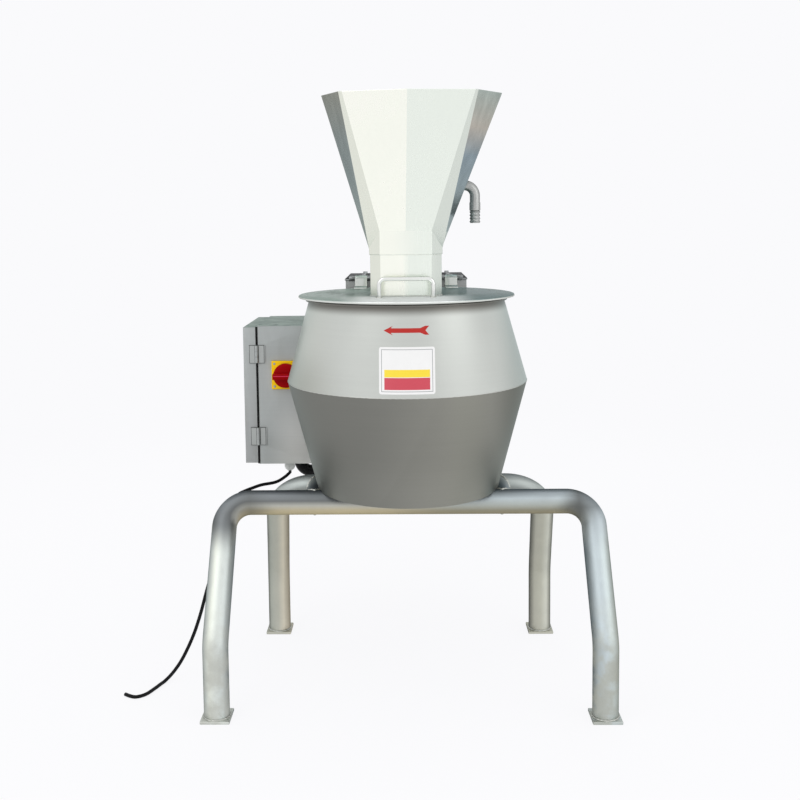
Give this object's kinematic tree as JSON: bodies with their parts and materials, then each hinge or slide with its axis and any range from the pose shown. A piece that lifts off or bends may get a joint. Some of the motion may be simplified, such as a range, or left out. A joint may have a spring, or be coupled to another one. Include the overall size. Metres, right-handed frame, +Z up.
{
  "type": "shredding and slicing machine",
  "caption": "Upright food shredder and slicer: flared feed hopper on a hinged lid, double-cone barrel with knife ring and impeller, belt drive, electrical box, bent tube frame.",
  "frame": {"origin": "middle of the footprint, on the floor under the feet, without the power cord", "axes": "+Z up, the front of the machine towards -Y, the electrical box towards -X"},
  "size_m": [1.0031, 0.757, 1.2349],
  "materials": {
    "bright_steel": "polished",
    "brushed_steel": "brushed",
    "blasted_steel": "bead blasted",
    "box_steel": "brushed",
    "knife_steel": "ground",
    "cast_iron": "cast and turned",
    "motor_paint": "satin paint",
    "black_rubber": "matt",
    "white_silicone": "matt",
    "clear_nylon": "translucent",
    "yellow_plastic": "moulded",
    "red_plastic": "moulded",
    "grey_plastic": "moulded"
  },
  "bodies": {
    "machine": {"front_arch": "blasted_steel", "rear_arch": "blasted_steel", "left_rail": "blasted_steel", "right_rail": "blasted_steel", "spindle_carrier": "blasted_steel", "motor_carrier": "blasted_steel", "lower_barrel_cone": "brushed_steel", "upper_barrel_cone": "brushed_steel", "lid_seal": "white_silicone", "hinge_leaf_left": "bright_steel", "hinge_leaf_right": "bright_steel", "lid_hinge_pin_left": "bright_steel", "lid_hinge_pin_right": "bright_steel", "feed_cone": "brushed_steel", "knife_ring": "bright_steel", "slicing_knife_1": "knife_steel", "slicing_knife_2": "knife_steel", "slicing_knife_3": "knife_steel", "slicing_knife_4": "knife_steel", "drive_belt": "black_rubber", "bearing_housing": "cast_iron", "upper_bearing": "knife_steel", "lower_bearing": "knife_steel", "belt_tray": "brushed_steel", "belt_cover": "brushed_steel", "housing_shell": "brushed_steel", "rear_cover": "brushed_steel", "housing_top_plate": "brushed_steel", "motor_plate": "brushed_steel", "motor_body": "motor_paint", "fan_cowl": "motor_paint", "box_body": "box_steel", "door_hinge_pin_lower": "bright_steel", "door_hinge_pin_upper": "bright_steel", "mounting_plate": "box_steel", "contactor": "grey_plastic", "terminal_strip": "grey_plastic", "switch_plate": "yellow_plastic", "switch_body": "grey_plastic", "cable_gland": "clear_nylon", "power_cord": "black_rubber", "motor_conduit": "black_rubber", "box_bracket_lower": "blasted_steel", "box_bracket_upper": "blasted_steel"},
    "lid": {"lid_plate": "bright_steel", "hopper_neck": "bright_steel", "hopper_flare": "bright_steel", "lid_handle": "bright_steel", "water_pipe": "bright_steel"},
    "rotor": {"impeller": "bright_steel", "impeller_cap": "bright_steel", "spindle": "knife_steel", "spindle_pulley": "cast_iron"},
    "motor_rotor": {"motor_shaft": "knife_steel", "motor_pulley": "cast_iron", "motor_fan": "grey_plastic"},
    "door": {"box_door": "box_steel"},
    "latch": {"door_latch": "bright_steel"},
    "switch": {"switch_knob": "red_plastic"}
  },
  "joints": [
    {"name": "lid_hinge", "type": "hinge", "parent": "machine", "child": "lid", "pos_m": [0, 0.11375, 0.8408], "axis": [-1, 0, 0], "range_deg": [0, 95]},
    {"name": "rotor_spin", "type": "hinge", "parent": "machine", "child": "rotor", "pos_m": [0, -0.12355, 0.5], "axis": [0, 0, 1], "continuous": true},
    {"name": "motor_spin", "type": "hinge", "parent": "machine", "child": "motor_rotor", "pos_m": [0, 0.25145, 0.5], "axis": [0, 0, 1], "continuous": true},
    {"name": "box_door_hinge", "type": "hinge", "parent": "machine", "child": "door", "pos_m": [-0.3425, 0.02215, 0.579], "axis": [0, 0, 1], "range_deg": [0, 110]},
    {"name": "latch_turn", "type": "hinge", "parent": "door", "child": "latch", "pos_m": [-0.3733, 0.24645, 0.579], "axis": [-1, 0, 0], "range_deg": [0, 90]},
    {"name": "switch_turn", "type": "hinge", "parent": "machine", "child": "switch", "pos_m": [-0.2765, 0.02, 0.6265], "axis": [0, 1, 0], "range_deg": [0, 90]}
  ],
  "couplings": [
    {"joint": "motor_spin", "follows": "rotor_spin", "ratio": 2}
  ]
}
